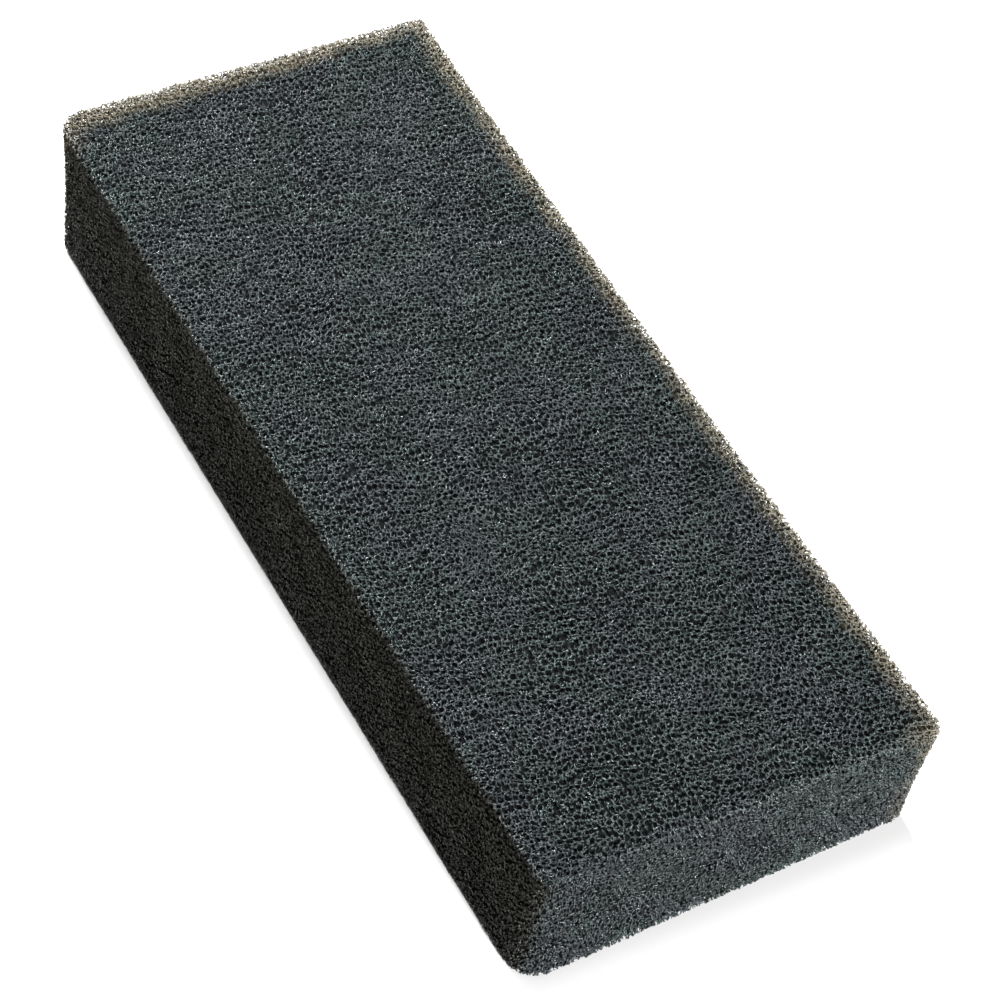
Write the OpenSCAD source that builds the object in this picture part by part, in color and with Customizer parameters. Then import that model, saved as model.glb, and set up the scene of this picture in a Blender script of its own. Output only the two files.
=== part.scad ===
// Foam air filter element for a small engine.
// One block of open-cell foam, cut from sheet: the sheet's own flat faces are above and below,
// and four cut walls run round it. It is pressed by hand into the well of an air cleaner.
// Millimetres. The origin is the centre of the underside, +Y runs along the length, +Z is up.

/* [Block] */
// Length along Y, over the upper face
block_l = 116; // [80:1:180]
// Width along X, over the upper face
block_w = 48; // [30:1:90]
// Thickness of the foam sheet
sheet_t = 20; // [12:1:40]

/* [Cut walls] */
// Radius of the four upright corners
corner_r = 1.5; // [0.5:0.5:6]
// How far each end wall leans in from the upper face to the underside
end_lean = 1.5; // [0.5:0.5:4]
// How far the blade dishes a wall inwards at half its height
wall_dish = 0.4; // [0.2:0.1:1]

/* [Hidden] */

foam_grey = [0.24, 0.26, 0.27];
lean_angle = atan(end_lean / sheet_t);
// How far the shaping solids run on past the block
spare = 10;
corner_fn = 96;
dish_fn = 720;

// Radius of the arc that spans a chord and stands off it by a rise
function arc_radius(chord, rise) = (chord * chord / 4 + rise * rise) / (2 * rise);

// Plan of the +Y end of a bar, with round corners. Its end wall is on the X axis.
module end_plan() {
    bar_l = block_l + spare;
    translate([-block_w / 2, -bar_l]) square([block_w, bar_l - corner_r]);
    translate([corner_r - block_w / 2, -bar_l]) square([block_w - 2 * corner_r, bar_l]);
    for (side = [-1, 1])
        translate([side * (block_w / 2 - corner_r), -corner_r]) circle(r = corner_r, $fn = corner_fn);
}

// A tall bar whose +Y end wall leans in towards the underside, hinged on the upper face's edge
module leaning_bar() {
    translate([0, block_l / 2, sheet_t])
        rotate([-lean_angle, 0, 0])
            translate([0, 0, -sheet_t - spare]) linear_extrude(sheet_t + 2 * spare) end_plan();
}

// What lies between the two sheet faces
module sheet() {
    translate([-block_w / 2 - spare, -block_l / 2 - spare, 0])
        cube([block_w + 2 * spare, block_l + 2 * spare, sheet_t]);
}

// Roller that dishes a wall. It lies along X beyond a wall at y = 0 that is centred on z = 0.
module dish_roller(wall_h, run) {
    roller_r = arc_radius(wall_h, wall_dish);
    translate([-run / 2, roller_r - wall_dish, 0])
        rotate([0, 90, 0]) cylinder(r = roller_r, h = run, $fn = dish_fn);
}

// Dish across one leaning end wall, at +Y
module end_dish() {
    translate([0, (block_l - end_lean) / 2, sheet_t / 2])
        rotate([-lean_angle, 0, 0])
            dish_roller(norm([sheet_t, end_lean]), block_w + 2 * spare);
}

// Dish along one long wall, at +X
module side_dish() {
    translate([block_w / 2, 0, sheet_t / 2])
        rotate([0, 0, -90]) dish_roller(sheet_t, block_l + 2 * spare);
}

module foam_element() {
    color(foam_grey) difference() {
        intersection() {
            sheet();
            leaning_bar();
            mirror([0, 1, 0]) leaning_bar();
        }
        end_dish();
        mirror([0, 1, 0]) end_dish();
        side_dish();
        mirror([1, 0, 0]) side_dish();
    }
}

foam_element();
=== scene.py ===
import itertools
import math

import bmesh
import bpy
import numpy as np
from mathutils import Euler, Matrix, Vector


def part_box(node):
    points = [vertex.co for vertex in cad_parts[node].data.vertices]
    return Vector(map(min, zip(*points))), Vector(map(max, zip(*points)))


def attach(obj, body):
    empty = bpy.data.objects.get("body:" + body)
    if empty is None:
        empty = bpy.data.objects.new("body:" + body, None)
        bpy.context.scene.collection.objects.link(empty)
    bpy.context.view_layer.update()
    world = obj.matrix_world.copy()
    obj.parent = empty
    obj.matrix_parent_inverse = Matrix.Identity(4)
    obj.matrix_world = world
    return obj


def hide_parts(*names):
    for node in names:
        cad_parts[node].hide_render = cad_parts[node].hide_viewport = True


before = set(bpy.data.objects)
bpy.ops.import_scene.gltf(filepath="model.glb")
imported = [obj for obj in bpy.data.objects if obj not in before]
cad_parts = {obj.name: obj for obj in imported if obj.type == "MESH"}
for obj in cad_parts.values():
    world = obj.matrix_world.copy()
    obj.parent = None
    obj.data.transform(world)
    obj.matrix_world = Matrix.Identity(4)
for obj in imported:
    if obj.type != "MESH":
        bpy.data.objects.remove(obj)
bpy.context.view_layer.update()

MM = 0.001

# ---- The block, from the frame ----
LOW, HIGH = (np.array(corner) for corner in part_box("foam_element"))
WIDTH, LENGTH, THICK = HIGH - LOW
HALF_W, HALF_L = WIDTH / 2, LENGTH / 2
# How far both end walls lean in towards the underside
END_LEAN = 1.5 * MM
# How far all four walls are dished, halfway up
WALL_DISH = 0.15 * MM
# Radius of the arrises round the two sheet faces
ARRIS_R = 0.6 * MM
# Radius in mm of each upright corner, at the underside and at the upper face, by its side in x and y
CORNER_R = {(-1, -1): (3.5, 1.2), (1, -1): (1.0, 1.8), (-1, 1): (1.5, 3.5), (1, 1): (1.5, 0.8)}
# How far in mm the unevenly cut block strays in x and y at each corner, by its side in x, y and z
STRAY = {
    (-1, -1, 0): (0.2, -0.9), (1, -1, 0): (1.3, -0.4), (-1, 1, 0): (0.4, 1.5), (1, 1, 0): (0.6, 0.3),
    (-1, -1, 1): (0.2, 0.4), (1, -1, 1): (0.6, -1.0), (-1, 1, 1): (0.1, 1.8), (1, 1, 1): (0.9, 0.5),
}
# How far the +X wall is cut in at the middle of its length
HOLLOW = 0.5 * MM

# ---- The skin: how deep the foam is modelled strut by strut, all round and at the underside ----
SKIN = 0.5 * MM
UNDERSKIN = 0.2 * MM

# ---- The cells ----
# Spacing of the cells, and how far each seed is jittered, in cells
CELL = 0.82 * MM
JITTER = 0.22
# Turn of the grid, so that no face of the block follows a row of cells, and its reach past the block
GRID_TURN = Euler((math.radians(25), math.radians(17), math.radians(38)))
GRID_REACH = 3 * CELL
# Furthest neighbour of a cell in half cells: along one axis, and the square of its distance
FURTHEST_STEP = 2
FURTHEST_SQUARE = 8
# How far from the skin seeds are kept, and the extra before their drift is known
SEED_REACH = 1.7 * CELL
DRIFT_REACH = 1.0 * MM
# Furthest that a node lies from its seeds
LONGEST_ARM = 0.8 * CELL
# Size and wavelength of the two drifts of the cells
BROAD_DRIFT, BROAD_WAVE = 0.22 * MM, 9 * MM
FINE_DRIFT, FINE_WAVE = 0.09 * MM, 3 * MM
# Number of waves that make up a ripple
WAVES = 10
# Seeds of the random draws. Each drift takes three, one for each axis
GRID_SEED, BROAD_SEED, FINE_SEED, STRUT_WAVE_SEED, STRUT_SEED = 7, 7, 10, 16, 27

# ---- The struts ----
STRUT_R = 0.135 * MM
# How a strut's radius varies, as shares of it: in waves, and at random from node to node
STRUT_SWELL, STRUT_WAVE = 0.10, 2.5 * MM
STRUT_SPREAD = 0.2
THINNEST, THICKEST = 0.5, 1.6
# Least share of a cut strut that is left standing
SHORTEST_STUB = 0.02

# ---- The core behind the struts ----
CORE_ARRIS_R = 1.3 * MM
BEVEL_STEPS = 6
# Cuts across each long edge, which let the core follow the uneven block
LONG_CUTS = 8
# How often points are moved onto the core's surface, and the step that its slope is taken over
SETTLE_ROUNDS = 4
SETTLE_STEP = 0.05 * MM

# ---- Colours ----
GREENISH = (0.0105, 0.0146, 0.0137)
BLUISH = (0.0124, 0.0132, 0.0150)
GRAIN = (0.006, 0.007, 0.007)
# Painted shade: darker, browner foam on the -X wall, which faces away from the lamps and gets only warm
# light off the floor
WALL_SHADE = (0.0034, 0.0028, 0.0010)
# Painted highlight: a paler grey along the arrises, where the struts catch more light
ARRIS_LIGHT = (0.045, 0.046, 0.044)
# Painted glow: a pale warm tint on the far +X and +Y rims, standing in for light that shows through the
# foam from behind
RIM_GLOW = (0.088, 0.069, 0.048)
# Painted shade: the core stands for the foam deep behind the struts, darker than the foam and black in
# its pores, for the shade down there
PORE_SHADE = (0.001, 0.001, 0.001)
DEEP_STRUT_SHADE = (0.006, 0.006, 0.006)
# The same painted glow on the core's far rims
DEEP_RIM_GLOW = (0.050, 0.039, 0.027)
PAPER = (0.330, 0.300, 0.297)
PALER_PAPER = (0.336, 0.306, 0.303)
DULL_PAPER = (0.24, 0.22, 0.18)

# ---- Finish ----
# Each finish: its specular level, its range of roughness, and the height and strength of its bumps
FOAM_SPECULAR, FOAM_ROUGHNESS, FOAM_BUMP = 0.32, (0.27, 0.47), (0.02 * MM, 0.5)
CORE_SPECULAR, CORE_ROUGHNESS, CORE_BUMP = 0.05, (0.75, 0.95), (0.2 * MM, 0.8)
PAPER_SPECULAR, PAPER_ROUGHNESS, PAPER_BUMP = 0.1, (0.85, 0.95), (0.02 * MM, 0.1)
# The range that most of a noise lies in, and the narrower one that sets the foam's hue
NOISE_LOW, NOISE_HIGH = 0.3, 0.7
HUE_LOW, HUE_HIGH = 0.4, 0.6
# Sizes of the foam's patches of hue, of painted highlight and glow, grain, roughness and bumps
HUE_SIZE, PATCH_SIZE, GRAIN_SIZE, ROUGH_SIZE, BUMP_SIZE = 9 * MM, 1.5 * MM, 0.7 * MM, 1.2 * MM, 0.15 * MM
# Sizes of the paper's patches of tone, roughness and bumps
PAPER_TONE_SIZE, PAPER_ROUGH_SIZE, PAPER_BUMP_SIZE = 40 * MM, 60 * MM, 30 * MM
# Most that the grain shows
GRAIN_MOST = 0.45
# Width of the painted highlight on an arris, how strong it is at most, and the share of painted
# highlight and glow left between patches
ARRIS_LIGHT_WIDTH = 0.8 * MM
ARRIS_LIGHT_MOST = 0.5
PATCH_LEAST = 0.6
# Width of the painted glow's rim, its reach in from the +X and +Y sides, and how far and how finely it
# wanders
RIM = 2.7 * MM
RIM_REACH = 2 * RIM
UNEVEN_RIM = 3.0 * MM
UNEVEN_SIZE = 4 * MM
# Depths below the upper face between which the painted glow weakens, and the share that is left under
# them
GLOW_DOWN = (2.5 * RIM, RIM)
LOWER_GLOW = 0.3
# Where the painted shade of the -X wall ends: in from its side, and down from the upper face
WALL_SHADE_IN = (0.6 * MM, 1.6 * MM)
WALL_SHADE_DOWN = (1.2 * MM, 0.2 * MM)
# Distance from the faces of a deep cell, in cells, over which a deep strut ends
DEEP_STRUT_EDGE = (0.03, 0.12)

# ---- Studio ----
# Half the side of the floor. Beyond it is the white of the world
FLOOR_HALF = 300 * MM
# Width of the floor's dull strip, and how softly it starts and ends
DULL_STRIP = 60 * MM
DULL_START = 8 * MM
DULL_END = 32 * MM
# The camera's angles in degrees, its distance, the point that it looks at, and its lens in mm
AZIMUTH, ELEVATION, ROLL = -37.46, 50.51, 10.59
DISTANCE = 360 * MM
AIM = Vector((1.26 * MM, -6.07 * MM, THICK / 2))
LENS = 114.98
NEAR_CLIP = 0.01
# Place, power in watts and size of each lamp, in metres
LAMPS = {
    "behind": ((0.0, 0.26, 0.31), 7.7, 0.08),
    "above": ((-0.06, -0.04, 0.70), 3.0, 0.10),
    "front": ((0.0, -1.40, 0.66), 130.0, 0.20),
}
COOL = (0.91, 1.0, 1.01)
# The world is bright up to the first height above the horizon, and dim from the second
SKY_HEIGHTS = (0.12, 0.25)
SKY_STRENGTHS = (1.0, 0.2)


# ---------------------------------------------------------------- shape of the block

def ripple(points, wavelength, seed):
    """A smooth random field over the points, with a spread of about 1."""
    rng = np.random.default_rng(seed)
    total = np.zeros(len(points))
    for _ in range(WAVES):
        way = rng.normal(size=3)
        way *= 2 * math.pi / wavelength / np.linalg.norm(way)
        total += np.sin(points @ way + rng.uniform(0, 2 * math.pi))
    return total * math.sqrt(2 / WAVES)


def corner_radius(x, y, up):
    """Radius of the upright corner nearest to each point, at its height."""
    quarter = (x > 0) + 2 * (y > 0)
    under, upper = np.array([CORNER_R[side, end] for end in (-1, 1) for side in (-1, 1)]).T * MM
    return under[quarter] * (1 - up) + upper[quarter] * up


def depth_in_block(points, inset, under_inset, arris_r):
    """How deep each point lies in the block, or in a copy cut back all round. Negative outside."""
    x, y, z = points.T
    up = np.clip(z / THICK, 0, 1)
    dish = WALL_DISH * 4 * up * (1 - up)
    corner_r = corner_radius(x, y, up)
    over_x = np.abs(x) - (HALF_W - dish - corner_r)
    over_y = np.abs(y) - (HALF_L - END_LEAN * (1 - up) - dish - corner_r)
    past_corner = np.hypot(np.maximum(over_x, 0), np.maximum(over_y, 0))
    wall = corner_r - past_corner - np.minimum(np.maximum(over_x, over_y), 0) - inset
    sheet = np.minimum(z - under_inset, THICK - z - inset)
    to_wall, to_sheet = np.maximum(arris_r - wall, 0), np.maximum(arris_r - sheet, 0)
    rounded = arris_r - np.hypot(to_wall, to_sheet)
    return np.where((to_wall > 0) & (to_sheet > 0), rounded, np.minimum(wall, sheet))


def skin_depth(points):
    return depth_in_block(points, 0, 0, ARRIS_R)


def core_depth(points):
    return depth_in_block(points, SKIN, UNDERSKIN, CORE_ARRIS_R)


def settled(points, depth):
    """The points, moved to where the depth is 0."""
    for _ in range(SETTLE_ROUNDS):
        rises = [depth(points + way) - depth(points - way) for way in np.eye(3) * SETTLE_STEP]
        slope = np.column_stack([rise / (2 * SETTLE_STEP) for rise in rises])
        points = points - depth(points)[:, None] * slope
    return points


def untrue(points):
    """The points, moved as the uneven cut moves them."""
    x, y, up = points[:, 0] / HALF_W, points[:, 1] / HALF_L, points[:, 2] / THICK
    moved = points.copy()
    for (side, end, top), stray in STRAY.items():
        share = (1 + side * x) / 2 * (1 + end * y) / 2 * (up if top else 1 - up)
        moved[:, :2] += share[:, None] * np.array(stray) * MM
    moved[:, 0] -= HOLLOW * (1 + x) / 2 * (1 - y ** 2)
    return moved


# ---------------------------------------------------------------- cells of the foam

def drift(points):
    """How far the foam's uneven rise carries each point, which leaves no straight rows of cells."""
    broad = [BROAD_DRIFT * ripple(points, BROAD_WAVE, BROAD_SEED + axis) for axis in range(3)]
    fine = [FINE_DRIFT * ripple(points, FINE_WAVE, FINE_SEED + axis) for axis in range(3)]
    return np.column_stack(broad) + np.column_stack(fine)


def near_skin(points, reach):
    return (skin_depth(points) > -reach) & (core_depth(points) < reach)


def cell_offsets():
    """The 26 neighbours of a cell on the body-centred grid in half cells, nearest first."""
    reach = range(-FURTHEST_STEP, FURTHEST_STEP + 1)
    steps = [s for s in itertools.product(reach, repeat=3) if len({c % 2 for c in s}) == 1]
    steps = [s for s in steps if 0 < sum(c * c for c in s) <= FURTHEST_SQUARE]
    return np.array(sorted(steps, key=lambda s: sum(c * c for c in s)))


def cell_seeds(offsets):
    """Jittered body-centred seeds, one for each cell of the skin, and the number of each neighbour.

    A neighbour that isn't there has the number -1.
    """
    rng = np.random.default_rng(GRID_SEED)
    turn = np.array(GRID_TURN.to_matrix())
    reach = np.abs(turn.T) @ (HIGH - LOW) / 2 + GRID_REACH
    count = 2 * np.ceil(reach / (CELL / 2)).astype(int)
    grid = np.indices(count).reshape(3, -1).T
    grid = grid[(grid % 2 == grid[:, :1] % 2).all(1)]
    seeds = (LOW + HIGH) / 2 + (grid - count / 2) * (CELL / 2) @ turn.T
    rough = near_skin(seeds, SEED_REACH + DRIFT_REACH)
    grid, seeds = grid[rough], seeds[rough]
    kept = near_skin(seeds + drift(seeds), SEED_REACH)
    grid, seeds = grid[kept] + FURTHEST_STEP, seeds[kept]
    seeds += rng.uniform(-JITTER, JITTER, seeds.shape) * CELL
    number = np.full(count + 2 * FURTHEST_STEP, -1, np.int32)
    number[tuple(grid.T)] = np.arange(len(grid))
    near = number[tuple((grid[:, None] + offsets[None]).transpose(2, 0, 1))]
    return seeds, near


def circumcentres(a, b, c, d):
    """From a to the point that is as far from all four."""
    u, v, w = b - a, c - a, d - a
    vw, wu, uv = np.cross(v, w), np.cross(w, u), np.cross(u, v)
    uu, vv, ww = ((edge * edge).sum(1)[:, None] for edge in (u, v, w))
    return (uu * vw + vv * wu + ww * uv) / (2 * (u * vw).sum(1))[:, None]


def neighbour_trios(offsets):
    """Sets of three offsets that are neighbours of each other, all on the forward side of the seed."""
    neighbours = {tuple(o) for o in offsets}
    forward = [i for i, o in enumerate(offsets) if tuple(o) > (0, 0, 0)]

    def linked(trio):
        pairs = itertools.combinations(trio, 2)
        return all(tuple(offsets[i] - offsets[j]) in neighbours for i, j in pairs)

    return [trio for trio in itertools.combinations(forward, 3) if linked(trio)]


def foam_nodes(seeds, near, offsets):
    """The points where four cells meet, each with its four seeds in rising order.

    A point as far from four seeds is one of them if no other neighbour is nearer to it.
    """
    far_away = [1.0, 1.0, 1.0]
    rounding = 1e-9
    seeds_by_number = np.vstack([seeds, far_away])
    fours, nodes = [], []
    for trio in neighbour_trios(offsets):
        own = np.flatnonzero((near[:, trio] >= 0).all(1))
        others = near[own][:, trio]
        arm = circumcentres(seeds[own], *seeds[others.T])
        node, reach = seeds[own] + arm, (arm * arm).sum(1)
        fit = reach < LONGEST_ARM ** 2
        for k in range(len(offsets)):
            own, others, node, reach = own[fit], others[fit], node[fit], reach[fit]
            if k in trio:
                fit = slice(None)
                continue
            gap = seeds_by_number[near[own, k]] - node
            fit = (gap * gap).sum(1) > reach * (1 - rounding)
        fours.append(np.column_stack([own, others])[fit])
        nodes.append(node[fit])
    return np.vstack(nodes), np.sort(np.vstack(fours), axis=1)


# A node's four sides each look at three of its seeds, and its six cusps each lie between two of them
TRIPLES = list(itertools.combinations(range(4), 3))
PAIRS = list(itertools.combinations(range(4), 2))
SIDE_CUSPS = np.array([[PAIRS.index(p) for p in itertools.combinations(t, 2)] for t in TRIPLES])
SEED_CUSPS = np.array([[i for i, p in enumerate(PAIRS) if s in p] for s in range(4)])


def foam_struts(fours, seed_count):
    """Node, side, node, side of each strut, and the node and side of each side that has no strut.

    A strut joins two nodes that share three seeds.
    """
    keys = np.concatenate([(fours[:, a] * seed_count + fours[:, b]) * seed_count + fours[:, c]
                           for a, b, c in TRIPLES])
    node = np.tile(np.arange(len(fours)), len(TRIPLES))
    side = np.repeat(np.arange(len(TRIPLES)), len(fours))
    order = np.argsort(keys, kind="stable")
    twin = np.flatnonzero(keys[order[1:]] == keys[order[:-1]])
    twin = twin[np.r_[True, np.diff(twin) > 1]]
    first, second = order[twin], order[twin + 1]
    single = np.ones(len(keys), bool)
    single[first] = single[second] = False
    struts = np.column_stack([node[first], side[first], node[second], side[second]])
    return struts, np.column_stack([node[single], side[single]])


def node_cusps(nodes, mids):
    """Six points round each node, where the faces of its struts meet. Struts vary in thickness."""
    rng = np.random.default_rng(STRUT_SEED)
    swell = STRUT_SWELL * ripple(nodes, STRUT_WAVE, STRUT_WAVE_SEED)
    vary = 1 + swell + rng.uniform(-STRUT_SPREAD, STRUT_SPREAD, len(nodes))
    radius = STRUT_R * np.clip(vary, THINNEST, THICKEST)
    way = mids - nodes[:, None]
    way /= np.linalg.norm(way, axis=2, keepdims=True)
    return nodes[:, None] + radius[:, None, None] * way


def wind(ring, corners, way):
    """Turns over the rings whose normal points against the way, and says which they are."""
    normal = np.cross(corners[:, 1] - corners[:, 0], corners[:, 2] - corners[:, 0])
    back = (normal * way).sum(1) < 0
    ring[back] = ring[back][:, ::-1]
    return back


class Lattice:
    """The struts of the foam's skin as one closed mesh: three-sided struts that meet at the nodes."""

    def __init__(self):
        self.place_nodes()
        kept = np.flatnonzero(self.inside)
        self.first_cusp = np.full(len(self.nodes), -1)
        self.first_cusp[kept] = np.arange(len(kept)) * len(PAIRS)
        self.verts = [self.cusps[kept].reshape(-1, 3)]
        self.vert_count = len(kept) * len(PAIRS)
        self.triangles, self.quads = [], []
        self.add_nodes(kept)
        self.add_struts()

    def place_nodes(self):
        """Finds the nodes in and near the skin, with their seeds, cusps and depths."""
        offsets = cell_offsets()
        seeds, near = cell_seeds(offsets)
        nodes, fours = foam_nodes(seeds, near, offsets)
        move = drift(seeds)
        nodes += move[fours].mean(1)
        self.seeds = seeds + move
        reached = near_skin(nodes, CELL)
        self.nodes, self.fours = nodes[reached], fours[reached]
        around = self.seeds[self.fours]
        mids = np.stack([(around[:, a] + around[:, b]) / 2 for a, b in PAIRS], axis=1)
        self.cusps = node_cusps(self.nodes, mids)
        self.depth = skin_depth(self.nodes)
        self.inside = (self.depth > 0) & (core_depth(self.nodes) < 0)

    def ring(self, node, side):
        """Numbers and places of the three cusps on a node's side."""
        cusp = SIDE_CUSPS[side]
        return self.first_cusp[node][:, None] + cusp, self.cusps[node[:, None], cusp]

    def new_verts(self, places):
        """Adds vertices and gives their numbers."""
        numbers = self.vert_count + np.arange(len(places))
        self.verts.append(places)
        self.vert_count += len(places)
        return numbers

    def add_nodes(self, kept):
        """The faces of each node that look at its four seeds, between its struts."""
        for seed, cusp in enumerate(SEED_CUSPS):
            fan = self.first_cusp[kept][:, None] + cusp
            way = self.seeds[self.fours[kept, seed]] - self.nodes[kept]
            wind(fan, self.cusps[kept][:, cusp], way)
            self.triangles.append(fan)

    def add_struts(self):
        struts, bare = foam_struts(self.fours, len(self.seeds))
        in_a, in_b = self.inside[struts[:, 0]], self.inside[struts[:, 2]]
        whole, cut = struts[in_a & in_b], struts[in_a ^ in_b]
        swap = self.inside[cut[:, 2]]
        cut[swap] = cut[swap][:, [2, 3, 0, 1]]
        outward = self.depth[cut[:, 2]] < 0
        self.add_whole(*whole.T)
        self.add_sliced(*cut[outward].T)
        self.add_sunk(*cut[~outward].T)
        self.add_bare(*bare[self.inside[bare[:, 0]]].T)

    def add_tube(self, ring_a, ring_b, at_a, at_b):
        """Three faces from ring to ring."""
        back = wind(ring_a, at_a, at_b.mean(1) - at_a.mean(1))
        ring_b[back] = ring_b[back][:, ::-1]
        for k in range(3):
            j = (k + 1) % 3
            self.quads.append(np.column_stack([ring_a[:, k], ring_a[:, j], ring_b[:, j], ring_b[:, k]]))

    def add_whole(self, a, side_a, b, side_b):
        """Struts that run from node to node."""
        ring_a, at_a = self.ring(a, side_a)
        ring_b, at_b = self.ring(b, side_b)
        self.add_tube(ring_a, ring_b, at_a, at_b)

    def add_sliced(self, a, side_a, b, side_b):
        """Struts that the blade cut off flush with the block's surface."""
        tiny = 1e-7
        ring_a, at_a = self.ring(a, side_a)
        at_b = self.ring(b, side_b)[1]
        deep_a, deep_b = (skin_depth(at.reshape(-1, 3)).reshape(-1, 3) for at in (at_a, at_b))
        share = np.clip(deep_a / np.maximum(deep_a - deep_b, tiny), SHORTEST_STUB, 1)
        at_cut = at_a + (at_b - at_a) * share[:, :, None]
        ring_cut = self.new_verts(at_cut.reshape(-1, 3)).reshape(-1, 3)
        self.add_tube(ring_a, ring_cut, at_a, at_cut)
        self.triangles.append(ring_cut)

    def add_sunk(self, a, side_a, b, _):
        """Struts that run on into the core, where each ends in a point."""
        ring_a, at_a = self.ring(a, side_a)
        wind(ring_a, at_a, self.nodes[b] - self.nodes[a])
        tip = self.new_verts(self.nodes[b])
        for k in range(3):
            self.triangles.append(np.column_stack([ring_a[:, k], ring_a[:, (k + 1) % 3], tip]))

    def add_bare(self, a, side_a):
        """Flat ends on the sides of nodes that have no strut."""
        ring_a, at_a = self.ring(a, side_a)
        wind(ring_a, at_a, at_a.mean(1) - self.nodes[a])
        self.triangles.append(ring_a)


# ---------------------------------------------------------------- pieces

def new_object(name, mesh, material):
    piece = bpy.data.objects.new(name, mesh)
    bpy.context.collection.objects.link(piece)
    mesh.materials.append(material)
    return piece


def finished_mesh(name, bm):
    mesh = bpy.data.meshes.new(name)
    bm.to_mesh(mesh)
    bm.free()
    return mesh


def flat_map(points, faces):
    """Where each corner of the faces lies on a map that lays the six sides of the block out flat."""
    gap = 2 * MM
    second, third, upper_row = WIDTH + gap, 2 * (WIDTH + gap), LENGTH + gap
    fourth = third + THICK + gap
    # For each side: the axis that it faces, whether it is the high one of two, and on the map the
    # axes that run across and up, and where it starts
    sides = [(2, 1, 0, 1, 0, 0), (2, 0, 0, 1, second, 0), (0, 1, 2, 1, third, 0),
             (0, 0, 2, 1, fourth, 0), (1, 1, 0, 2, 0, upper_row), (1, 0, 0, 2, second, upper_row)]
    centre = points[faces].mean(1)
    depth = np.stack([(HIGH - centre)[:, axis] if high else (centre - LOW)[:, axis]
                      for axis, high, *_ in sides], axis=1)
    nearest = depth.argmin(1)
    places = np.empty(faces.shape + (2,), np.float32)
    for k, (_, _, across, up, start_across, start_up) in enumerate(sides):
        corner = (points[faces[nearest == k]] - LOW)[..., [across, up]] + (start_across, start_up)
        places[nearest == k] = corner / (fourth + THICK + gap)
    return places.reshape(-1, 2)


def lattice_mesh(name):
    lattice = Lattice()
    parts = (lattice.verts, lattice.triangles, lattice.quads)
    verts, triangles, quads = (np.vstack(part) for part in parts)
    corners = np.concatenate([triangles.ravel(), quads.ravel()])
    starts = [np.arange(len(triangles)) * 3, triangles.size + np.arange(len(quads)) * 4]
    face_count = len(triangles) + len(quads)
    mesh = bpy.data.meshes.new(name)
    mesh.vertices.add(len(verts))
    mesh.vertices.foreach_set("co", untrue(verts).astype(np.float32).ravel())
    mesh.loops.add(len(corners))
    mesh.loops.foreach_set("vertex_index", corners.astype(np.int32))
    mesh.polygons.add(face_count)
    mesh.polygons.foreach_set("loop_start", np.concatenate(starts).astype(np.int32))
    mesh.polygons.foreach_set("use_smooth", np.ones(face_count, bool))
    flat = np.vstack([flat_map(verts, triangles), flat_map(verts, quads)])
    mesh.uv_layers.new(name="OFBake").data.foreach_set("uv", flat.ravel())
    mesh.update(calc_edges=True)
    return mesh


def core_mesh(name):
    """The foam behind the skin, as one rounded block that follows the skin's uneven shape."""
    bm = bmesh.new()
    bmesh.ops.create_cube(bm, size=2)
    for vert in bm.verts:
        x, y, z = vert.co
        half_l = HALF_L - SKIN - (END_LEAN if z < 0 else 0)
        vert.co = (x * (HALF_W - SKIN), y * half_l, UNDERSKIN if z < 0 else THICK - SKIN)
    bmesh.ops.bevel(bm, geom=bm.edges[:], offset=CORE_ARRIS_R, segments=BEVEL_STEPS, profile=0.5,
                    affect="EDGES")
    long_edges = [edge for edge in bm.edges if edge.calc_length() > THICK / 2]
    bmesh.ops.subdivide_edges(bm, edges=long_edges, cuts=LONG_CUTS, use_grid_fill=True)
    places = untrue(settled(np.array([vert.co for vert in bm.verts]), core_depth))
    for vert, place in zip(bm.verts, places):
        vert.co = place
    for face in bm.faces:
        face.smooth = True
    return finished_mesh(name, bm)


def floor_mesh(name):
    bm = bmesh.new()
    bmesh.ops.create_grid(bm, x_segments=1, y_segments=1, size=FLOOR_HALF)
    return finished_mesh(name, bm)


# ---------------------------------------------------------------- materials

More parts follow.
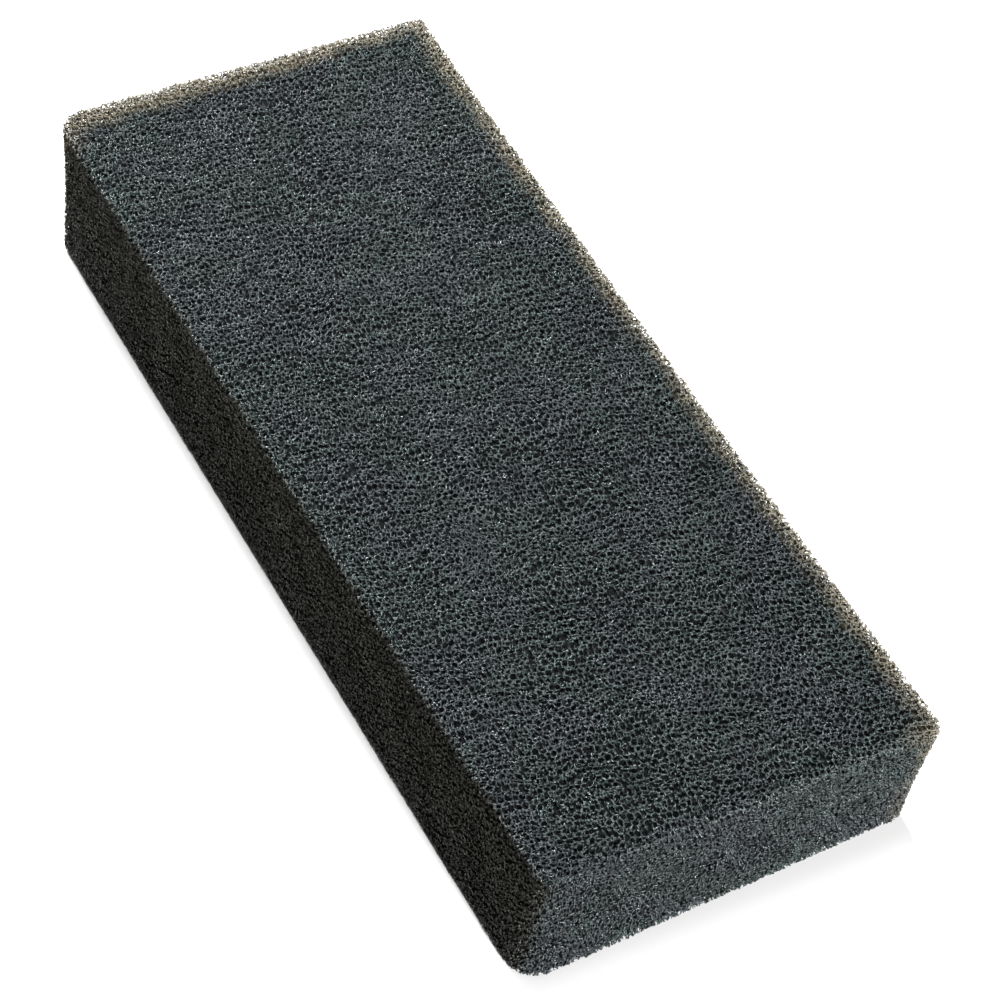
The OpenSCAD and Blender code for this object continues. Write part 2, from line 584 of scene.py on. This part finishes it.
class Finish:
    """A material built from nodes, in the object's own coordinates."""

    def __init__(self, name, specular):
        self.material = bpy.data.materials.new(name)
        self.material.use_nodes = True
        self.tree = self.material.node_tree
        self.shader = self.tree.nodes["Principled BSDF"]
        self.shader.inputs["Specular IOR Level"].default_value = specular
        self.place = self.node("ShaderNodeTexCoord", {}).outputs["Object"]
        self.axes = self.node("ShaderNodeSeparateXYZ", {0: self.place}).outputs

    def node(self, kind, values, **settings):
        node = self.tree.nodes.new(kind)
        for key, setting in settings.items():
            setattr(node, key, setting)
        for socket, value in values.items():
            self.put(node.inputs[socket], value)
        return node

    def put(self, socket, value):
        """Links the socket to the value if that is a socket too, and sets it if not."""
        if isinstance(value, bpy.types.NodeSocket):
            self.tree.links.new(value, socket)
        else:
            socket.default_value = value

    def maths(self, operation, a, b=0.0):
        return self.node("ShaderNodeMath", {0: a, 1: b}, operation=operation).outputs[0]

    def plus(self, a, b):
        return self.maths("ADD", a, b)

    def minus(self, a, b):
        return self.maths("SUBTRACT", a, b)

    def times(self, a, b):
        return self.maths("MULTIPLY", a, b)

    def lower(self, a, b):
        return self.maths("MINIMUM", a, b)

    def higher(self, a, b):
        return self.maths("MAXIMUM", a, b)

    def noise(self, size, detail=2.0):
        values = {"Vector": self.place, "Scale": 1 / size, "Detail": detail}
        return self.node("ShaderNodeTexNoise", values).outputs["Fac"]

    def ramp(self, value, start, end, at_start, at_end):
        """Runs smoothly from at_start, where the value is start or less, to at_end."""
        values = dict(enumerate((value, start, end, at_start, at_end)))
        return self.node("ShaderNodeMapRange", values, interpolation_type="SMOOTHSTEP").outputs[0]

    def patches(self, size, low, high):
        """Patches of noise that run from low to high."""
        return self.ramp(self.noise(size), NOISE_LOW, NOISE_HIGH, low, high)

    def mix(self, share, a, b):
        """A colour between a and b, each a colour or a socket."""
        a, b = ((*colour, 1) if isinstance(colour, tuple) else colour for colour in (a, b))
        node = self.node("ShaderNodeMix", {"Factor": share}, data_type="RGBA")
        self.put(node.inputs[6], a)
        self.put(node.inputs[7], b)
        return node.outputs[2]

    def finish(self, colour, roughness, height, bump):
        bump_height, strength = bump
        values = {"Height": height, "Distance": bump_height, "Strength": strength}
        self.put(self.shader.inputs["Base Color"], colour)
        self.put(self.shader.inputs["Roughness"], roughness)
        self.put(self.shader.inputs["Normal"], self.node("ShaderNodeBump", values).outputs[0])
        return self.material


def arris_distance(f):
    """How far a point on the block lies from the nearest arris."""
    x, y, z = f.axes
    to_x = f.minus(HALF_W, f.maths("ABSOLUTE", x))
    to_y = f.minus(HALF_L, f.maths("ABSOLUTE", y))
    to_z = f.lower(z, f.minus(THICK, z))
    return f.higher(f.lower(to_x, to_y), f.lower(f.higher(to_x, to_y), to_z))


def painted_glow(f, to_arris):
    """How much painted glow a point gets: a pale warm tint for light showing through the foam from
    behind, most on the upper +X and +Y rims, with a wandering edge.
    """
    x, y, z = f.axes
    uneven = f.times(f.minus(f.noise(UNEVEN_SIZE), 0.5), UNEVEN_RIM)
    near_arris = f.ramp(f.plus(to_arris, uneven), 0.0, RIM, 1.0, 0.0)
    to_side = f.lower(f.minus(HALF_W, x), f.minus(HALF_L, y))
    near_side = f.ramp(to_side, 0.0, RIM_REACH, 1.0, 0.0)
    near_top = f.ramp(z, THICK - GLOW_DOWN[0], THICK - GLOW_DOWN[1], LOWER_GLOW, 1.0)
    return f.times(f.times(near_arris, near_side), near_top)


def wall_shading(f):
    """How much painted shade a point gets: a darker, browner colour wholly on the -X wall, which faces
    away from the lamps, and none on the upper face.
    """
    x, _, z = f.axes
    on_wall = f.ramp(x, WALL_SHADE_IN[0] - HALF_W, WALL_SHADE_IN[1] - HALF_W, 1.0, 0.0)
    under_top = f.ramp(z, THICK - WALL_SHADE_DOWN[0], THICK - WALL_SHADE_DOWN[1], 1.0, 0.0)
    return f.times(on_wall, under_top)


def foam_finish():
    """Dark foam, in browner painted shade on its -X wall, with a painted highlight of paler grey on its
    arrises and a painted glow along its far rims.
    """
    f = Finish("foam", FOAM_SPECULAR)
    to_arris = arris_distance(f)
    patchy = f.patches(PATCH_SIZE, PATCH_LEAST, 1.0)
    # Painted highlight along the arrises, in patches
    lit_arris = f.times(f.ramp(to_arris, 0.0, ARRIS_LIGHT_WIDTH, ARRIS_LIGHT_MOST, 0.0), patchy)
    # Painted glow on the far rims, in patches
    glow = f.times(painted_glow(f, to_arris), patchy)
    hue = f.ramp(f.noise(HUE_SIZE, detail=1.0), HUE_LOW, HUE_HIGH, 0.0, 1.0)
    base = f.mix(hue, GREENISH, BLUISH)
    base = f.mix(f.patches(GRAIN_SIZE, GRAIN_MOST, 0.0), base, GRAIN)
    # Painted shade on the -X wall
    base = f.mix(wall_shading(f), base, WALL_SHADE)
    base = f.mix(lit_arris, base, ARRIS_LIGHT)
    base = f.mix(glow, base, RIM_GLOW)
    roughness = f.patches(ROUGH_SIZE, *FOAM_ROUGHNESS)
    return f.finish(base, roughness, f.noise(BUMP_SIZE), FOAM_BUMP)


def core_finish():
    """Foam seen deep between the struts, in painted shade: darker struts round black pores, with the
    painted glow at the rims.
    """
    f = Finish("deep_foam_shade", CORE_SPECULAR)
    cells = {"Vector": f.place, "Scale": 1 / CELL}
    edge = f.node("ShaderNodeTexVoronoi", cells, feature="DISTANCE_TO_EDGE").outputs["Distance"]
    strut = f.ramp(edge, *DEEP_STRUT_EDGE, 1.0, 0.0)
    base = f.mix(strut, PORE_SHADE, DEEP_STRUT_SHADE)
    base = f.mix(painted_glow(f, arris_distance(f)), base, DEEP_RIM_GLOW)
    return f.finish(base, f.patches(CELL, *CORE_ROUGHNESS), strut, CORE_BUMP)


def floor_finish():
    """Pale paper, duller in a strip along the -X wall, so that it throws less light up that wall."""
    f = Finish("studio_floor", PAPER_SPECULAR)
    off_wall = f.minus(-HALF_W, f.axes["X"])
    dull = f.times(f.ramp(off_wall, 0.0, DULL_START, 0.0, 1.0),
                   f.ramp(off_wall, DULL_STRIP, DULL_STRIP + DULL_END, 1.0, 0.0))
    base = f.mix(f.noise(PAPER_TONE_SIZE), PAPER, PALER_PAPER)
    base = f.mix(dull, base, DULL_PAPER)
    roughness = f.patches(PAPER_ROUGH_SIZE, *PAPER_ROUGHNESS)
    return f.finish(base, roughness, f.noise(PAPER_BUMP_SIZE), PAPER_BUMP)


# ---------------------------------------------------------------- camera and light

def add_camera():
    """Looks down on the block from its near left, rolled a little, at the photograph's angle."""
    azimuth, elevation, roll = (math.radians(angle) for angle in (AZIMUTH, ELEVATION, ROLL))
    back = Vector((math.sin(azimuth) * math.cos(elevation), -math.cos(azimuth) * math.cos(elevation),
                   math.sin(elevation)))
    level = Vector((0, 0, 1)).cross(back).normalized()
    upright = back.cross(level)
    right = level * math.cos(roll) + upright * math.sin(roll)
    up = upright * math.cos(roll) - level * math.sin(roll)
    data = bpy.data.cameras.new("camera")
    data.lens = LENS
    data.clip_start = NEAR_CLIP
    camera = bpy.data.objects.new("camera", data)
    bpy.context.collection.objects.link(camera)
    turn = Matrix((right, up, back)).transposed().to_4x4()
    camera.matrix_world = Matrix.Translation(AIM + back * DISTANCE) @ turn
    bpy.context.scene.camera = camera


def add_lamp(name, place, power, size):
    """A square lamp that faces the origin."""
    data = bpy.data.lights.new(name, "AREA")
    data.energy = power
    data.size = size
    data.color = COOL
    lamp = bpy.data.objects.new(name, data)
    bpy.context.collection.objects.link(lamp)
    lamp.location = place
    lamp.rotation_euler = (-Vector(place)).to_track_quat("-Z", "Y").to_euler()


def add_world():
    """A studio that is white near the horizon and dim above."""
    world = bpy.data.worlds.new("studio")
    bpy.context.scene.world = world
    world.use_nodes = True
    tree = world.node_tree
    coord = tree.nodes.new("ShaderNodeTexCoord")
    axes = tree.nodes.new("ShaderNodeSeparateXYZ")
    ramp = tree.nodes.new("ShaderNodeMapRange")
    for socket, value in zip(ramp.inputs[1:5], (*SKY_HEIGHTS, *SKY_STRENGTHS)):
        socket.default_value = value
    tree.links.new(coord.outputs["Generated"], axes.inputs[0])
    tree.links.new(axes.outputs["Z"], ramp.inputs["Value"])
    tree.links.new(ramp.outputs[0], tree.nodes["Background"].inputs["Strength"])
    tree.nodes["Background"].inputs["Color"].default_value = (1, 1, 1, 1)


# ---------------------------------------------------------------- the scene

add_camera()
add_world()
for lamp_name, (lamp_place, lamp_power, lamp_size) in LAMPS.items():
    add_lamp(lamp_name, lamp_place, lamp_power, lamp_size)
bpy.context.scene.view_settings.view_transform = "Standard"

foam = new_object("foam_lattice", lattice_mesh("foam_lattice"), foam_finish())
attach(foam, "root")
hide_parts("foam_element")

# The core's finish is painted shade of the depth behind the struts
core = new_object("foam_core", core_mesh("foam_core"), core_finish())
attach(core, "root")

floor = new_object("floor", floor_mesh("floor"), floor_finish())
